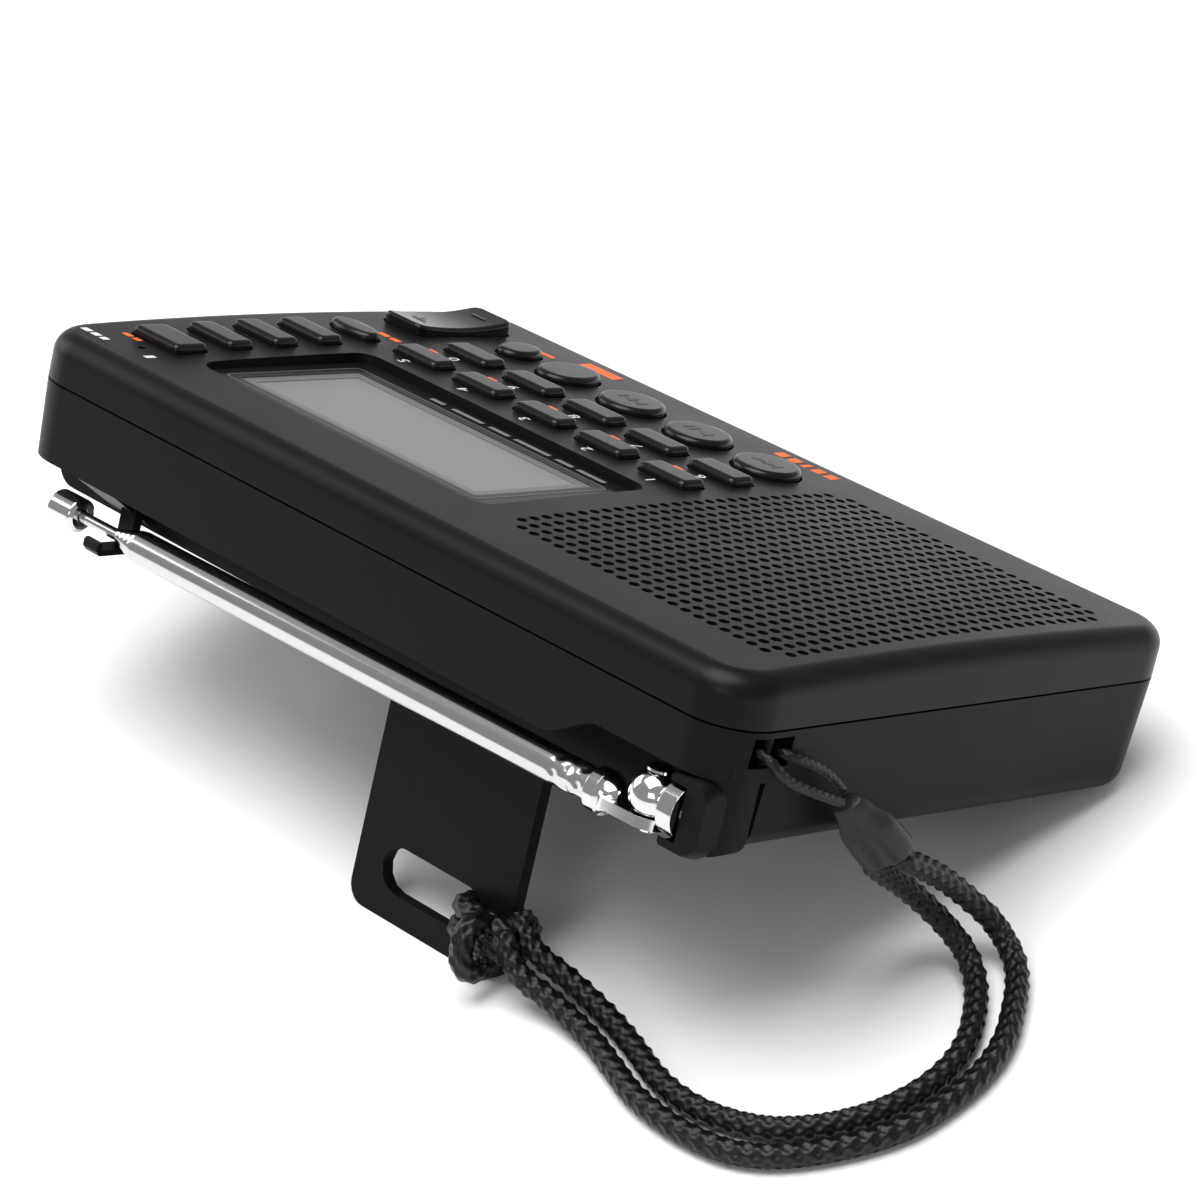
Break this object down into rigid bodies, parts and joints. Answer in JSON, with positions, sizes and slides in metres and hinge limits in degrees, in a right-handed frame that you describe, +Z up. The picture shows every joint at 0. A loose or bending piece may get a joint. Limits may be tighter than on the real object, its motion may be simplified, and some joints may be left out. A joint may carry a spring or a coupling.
{
  "type": "tabletop radio",
  "caption": "Pocket multiband radio leaning on a folding rear stand, with keypad, display, telescopic antenna and a wrist strap.",
  "frame": {"origin": "table height, under the middle of the radio and its open stand, measured without the strap", "axes": "+X along the case from the grille end to the rocker end, +Y towards the raised top edge that holds the antenna, +Z up"},
  "size_m": [0.1434, 0.0905, 0.0493],
  "materials": {
    "case_plastic": "fine satin texture, black",
    "key_plastic": "satin black moulded keys with pale marks",
    "lens": "clear window, dark printed border",
    "lcd": "grey-green reflective display",
    "chrome": "bright plated",
    "steel": "plain",
    "jack_plastic": "black",
    "stand_plastic": "matte black",
    "board": "green solder mask",
    "silicone": "grey silicone",
    "cone": "black paper cone",
    "ferrite": "sintered, dark",
    "copper": "enamelled copper wire",
    "battery_wrap": "heat-shrink wrap",
    "ferrule_rubber": "dark grey soft rubber",
    "cord": "braided black cord"
  },
  "bodies": {
    "root": {"front_housing": "case_plastic", "rear_housing": "case_plastic", "display_lens": "lens", "lcd_module": "lcd", "speaker_frame": "steel", "speaker_cone": "cone", "speaker_magnet": "steel", "main_board": "board", "keymat": "silicone", "microphone": "steel", "ferrite_rod": "ferrite", "ferrite_coil": "copper", "battery": "battery_wrap", "battery_contacts": "steel", "earphone_jack": "jack_plastic", "usb_socket": "steel", "card_slot": "steel", "housing_screw_1": "steel", "housing_screw_2": "steel", "housing_screw_3": "steel", "housing_screw_4": "steel", "strap_loop": "cord", "strap_ferrule": "ferrule_rubber", "strap_outer": "cord", "strap_inner": "cord"},
    "cover": {"battery_cover": "case_plastic"},
    "stand": {"kickstand": "stand_plastic", "strap_knot": "cord"},
    "swivel": {"antenna_swivel": "chrome", "antenna_screw": "chrome"},
    "arm": {"antenna_knuckle": "chrome", "antenna_tube_1": "chrome"},
    "tube_2": {"antenna_tube_2": "chrome"},
    "tube_3": {"antenna_tube_3": "chrome"},
    "tube_4": {"antenna_tube_4": "chrome"},
    "rod": {"antenna_rod": "chrome", "antenna_tip": "chrome"},
    "key_wide": {"key_wide": "key_plastic"},
    "key_side_1": {"key_side_1": "key_plastic"},
    "key_side_2": {"key_side_2": "key_plastic"},
    "key_side_3": {"key_side_3": "key_plastic"},
    "key_side_oval": {"key_side_oval": "key_plastic"},
    "key_number_1": {"key_number_1": "key_plastic"},
    "key_number_2": {"key_number_2": "key_plastic"},
    "key_number_3": {"key_number_3": "key_plastic"},
    "key_number_4": {"key_number_4": "key_plastic"},
    "key_number_5": {"key_number_5": "key_plastic"},
    "key_number_6": {"key_number_6": "key_plastic"},
    "key_number_7": {"key_number_7": "key_plastic"},
    "key_number_8": {"key_number_8": "key_plastic"},
    "key_number_9": {"key_number_9": "key_plastic"},
    "key_number_0": {"key_number_0": "key_plastic"},
    "key_small_oval": {"key_small_oval": "key_plastic"},
    "key_large_oval": {"key_large_oval": "key_plastic"},
    "key_transport_1": {"key_transport_1": "key_plastic"},
    "key_transport_2": {"key_transport_2": "key_plastic"},
    "key_transport_3": {"key_transport_3": "key_plastic"},
    "key_rocker": {"key_rocker": "key_plastic"}
  },
  "joints": [
    {"name": "key_wide_press", "type": "slide", "parent": "root", "child": "key_wide", "axis": [0, 0.4096, -0.9123], "range_m": [0, 0.0006], "stiffness_N_per_m": 900},
    {"name": "key_side_1_press", "type": "slide", "parent": "root", "child": "key_side_1", "axis": [0, 0.4096, -0.9123], "range_m": [0, 0.0006], "stiffness_N_per_m": 900},
    {"name": "key_side_2_press", "type": "slide", "parent": "root", "child": "key_side_2", "axis": [0, 0.4096, -0.9123], "range_m": [0, 0.0006], "stiffness_N_per_m": 900},
    {"name": "key_side_3_press", "type": "slide", "parent": "root", "child": "key_side_3", "axis": [0, 0.4096, -0.9123], "range_m": [0, 0.0006], "stiffness_N_per_m": 900},
    {"name": "key_side_oval_press", "type": "slide", "parent": "root", "child": "key_side_oval", "axis": [0, 0.4096, -0.9123], "range_m": [0, 0.0006], "stiffness_N_per_m": 900},
    {"name": "key_number_1_press", "type": "slide", "parent": "root", "child": "key_number_1", "axis": [0, 0.4096, -0.9123], "range_m": [0, 0.0006], "stiffness_N_per_m": 900},
    {"name": "key_number_2_press", "type": "slide", "parent": "root", "child": "key_number_2", "axis": [0, 0.4096, -0.9123], "range_m": [0, 0.0006], "stiffness_N_per_m": 900},
    {"name": "key_number_3_press", "type": "slide", "parent": "root", "child": "key_number_3", "axis": [0, 0.4096, -0.9123], "range_m": [0, 0.0006], "stiffness_N_per_m": 900},
    {"name": "key_number_4_press", "type": "slide", "parent": "root", "child": "key_number_4", "axis": [0, 0.4096, -0.9123], "range_m": [0, 0.0006], "stiffness_N_per_m": 900},
    {"name": "key_number_5_press", "type": "slide", "parent": "root", "child": "key_number_5", "axis": [0, 0.4096, -0.9123], "range_m": [0, 0.0006], "stiffness_N_per_m": 900},
    {"name": "key_number_6_press", "type": "slide", "parent": "root", "child": "key_number_6", "axis": [0, 0.4096, -0.9123], "range_m": [0, 0.0006], "stiffness_N_per_m": 900},
    {"name": "key_number_7_press", "type": "slide", "parent": "root", "child": "key_number_7", "axis": [0, 0.4096, -0.9123], "range_m": [0, 0.0006], "stiffness_N_per_m": 900},
    {"name": "key_number_8_press", "type": "slide", "parent": "root", "child": "key_number_8", "axis": [0, 0.4096, -0.9123], "range_m": [0, 0.0006], "stiffness_N_per_m": 900},
    {"name": "key_number_9_press", "type": "slide", "parent": "root", "child": "key_number_9", "axis": [0, 0.4096, -0.9123], "range_m": [0, 0.0006], "stiffness_N_per_m": 900},
    {"name": "key_number_0_press", "type": "slide", "parent": "root", "child": "key_number_0", "axis": [0, 0.4096, -0.9123], "range_m": [0, 0.0006], "stiffness_N_per_m": 900},
    {"name": "key_small_oval_press", "type": "slide", "parent": "root", "child": "key_small_oval", "axis": [0, 0.4096, -0.9123], "range_m": [0, 0.0006], "stiffness_N_per_m": 900},
    {"name": "key_large_oval_press", "type": "slide", "parent": "root", "child": "key_large_oval", "axis": [0, 0.4096, -0.9123], "range_m": [0, 0.0006], "stiffness_N_per_m": 900},
    {"name": "key_transport_1_press", "type": "slide", "parent": "root", "child": "key_transport_1", "axis": [0, 0.4096, -0.9123], "range_m": [0, 0.0006], "stiffness_N_per_m": 900},
    {"name": "key_transport_2_press", "type": "slide", "parent": "root", "child": "key_transport_2", "axis": [0, 0.4096, -0.9123], "range_m": [0, 0.0006], "stiffness_N_per_m": 900},
    {"name": "key_transport_3_press", "type": "slide", "parent": "root", "child": "key_transport_3", "axis": [0, 0.4096, -0.9123], "range_m": [0, 0.0006], "stiffness_N_per_m": 900},
    {"name": "key_rocker_tilt", "type": "hinge", "parent": "root", "child": "key_rocker", "pos_m": [0.0512, -0.02666, 0.02326], "axis": [1, 0, 0], "range_deg": [-2, 2], "stiffness_Nm_per_rad": 0.05},
    {"name": "battery_cover_slide", "type": "slide", "parent": "root", "child": "cover", "axis": [1, 0, 0], "range_m": [0, 0.008]},
    {"name": "stand_fold", "type": "hinge", "parent": "root", "child": "stand", "pos_m": [-0.01505, 0.02831, 0.02816], "axis": [1, 0, 0], "range_deg": [-76, 0], "deforming": ["strap_outer", "strap_inner"]},
    {"name": "antenna_turn", "type": "hinge", "parent": "root", "child": "swivel", "pos_m": [-0.0497, 0.03443, 0.0337], "axis": [1, 0, 0], "range_deg": [-10, 60]},
    {"name": "antenna_swing", "type": "hinge", "parent": "swivel", "child": "arm", "pos_m": [-0.0497, 0.03547, 0.03137], "axis": [0.0141, -0.4095, 0.9122], "range_deg": [0, 90]},
    {"name": "antenna_pull_1", "type": "slide", "parent": "arm", "child": "tube_2", "axis": [0.9999, 0.0058, -0.0129], "range_m": [0, 0.06]},
    {"name": "antenna_pull_2", "type": "slide", "parent": "tube_2", "child": "tube_3", "axis": [0.9999, 0.0058, -0.0129], "range_m": [0, 0.06]},
    {"name": "antenna_pull_3", "type": "slide", "parent": "tube_3", "child": "tube_4", "axis": [0.9999, 0.0058, -0.0129], "range_m": [0, 0.06]},
    {"name": "antenna_pull_4", "type": "slide", "parent": "tube_4", "child": "rod", "axis": [0.9999, 0.0058, -0.0129], "range_m": [0, 0.06]}
  ]
}
